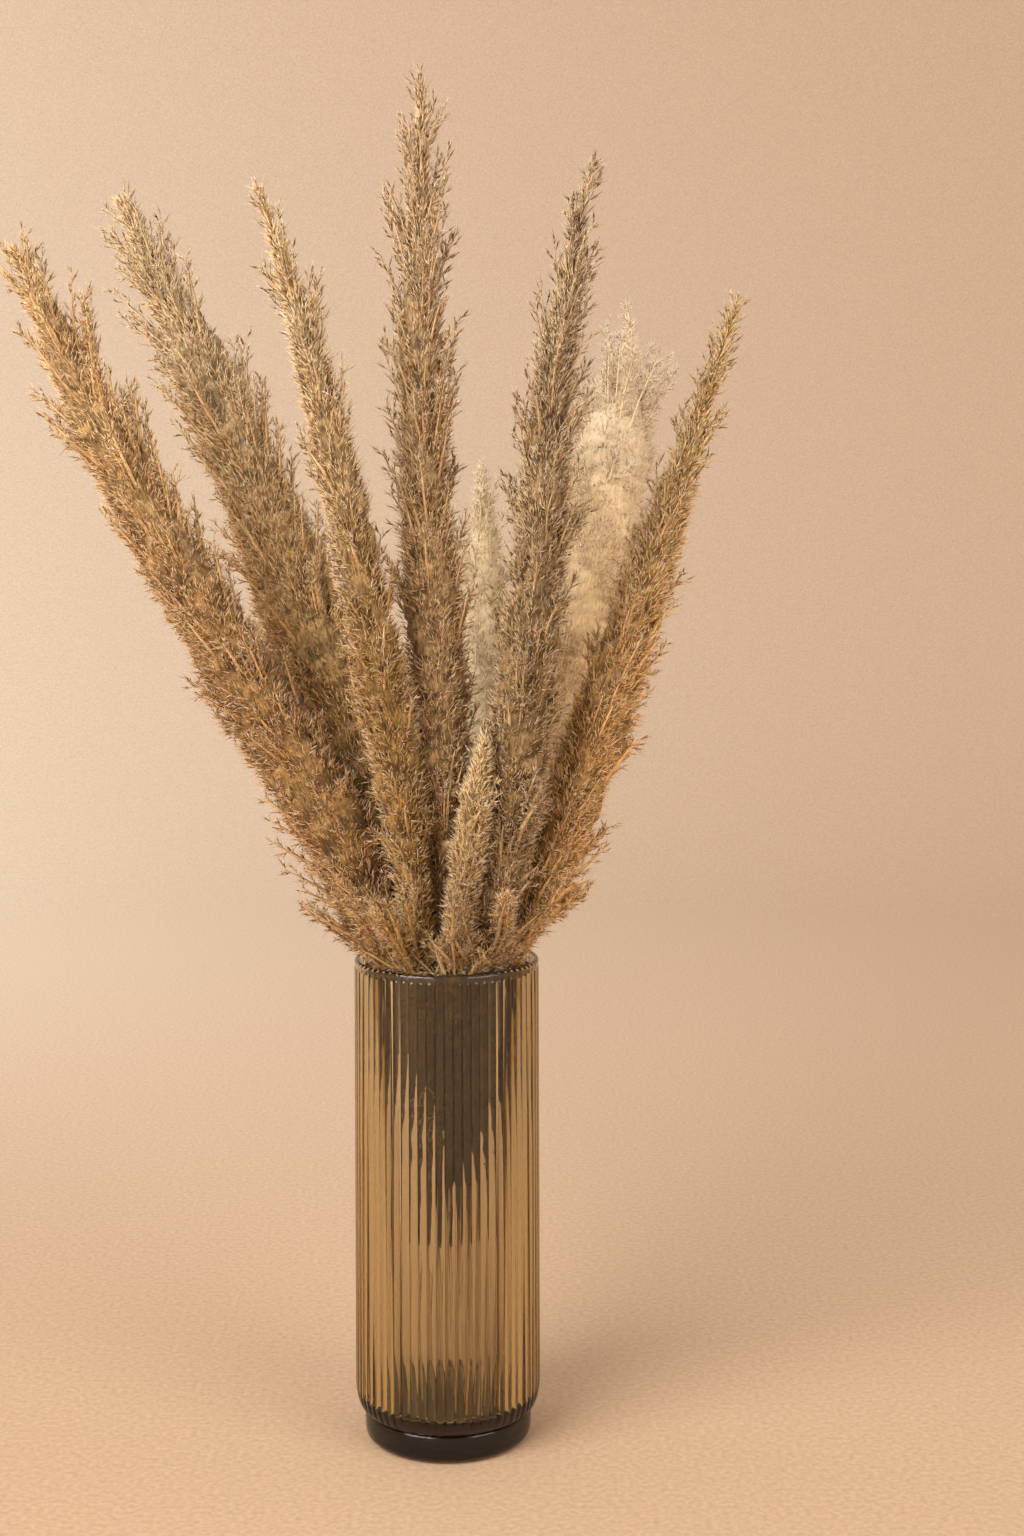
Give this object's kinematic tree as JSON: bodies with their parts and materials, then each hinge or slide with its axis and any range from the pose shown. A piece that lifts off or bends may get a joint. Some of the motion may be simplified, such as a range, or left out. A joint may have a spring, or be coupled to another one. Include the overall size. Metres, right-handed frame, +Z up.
{
  "type": "vase of pampas grass",
  "caption": "Tall cylindrical smoked-amber glass vase with fine vertical ribs and a thick foot, holding a fan of dried pampas grass plumes on their canes.",
  "frame": {"origin": "centre of the vase's flat underside, on the surface it stands on", "axes": "+Z up along the axis of the vase; the plumes fan out along X, and -Y is the front that the picture shows"},
  "size_m": [0.4419, 0.2678, 0.866],
  "materials": {
    "smoked_glass": "polished",
    "dry_cane": "satin",
    "golden_plume": "matte",
    "brown_plume": "matte",
    "cream_plume": "matte"
  },
  "bodies": {
    "root": {"vase": "smoked_glass", "stem_far_left": "dry_cane", "stem_left": "dry_cane", "stem_centre_left": "dry_cane", "stem_centre": "dry_cane", "stem_centre_right": "dry_cane", "stem_pale_right": "dry_cane", "stem_right": "dry_cane", "stem_pale_centre": "dry_cane", "stem_short": "dry_cane", "plume_far_left": "golden_plume", "plume_left": "brown_plume", "plume_centre_left": "golden_plume", "plume_centre": "brown_plume", "plume_centre_right": "brown_plume", "plume_pale_right": "cream_plume", "plume_right": "golden_plume", "plume_pale_centre": "cream_plume", "plume_short": "golden_plume"}
  },
  "joints": []
}
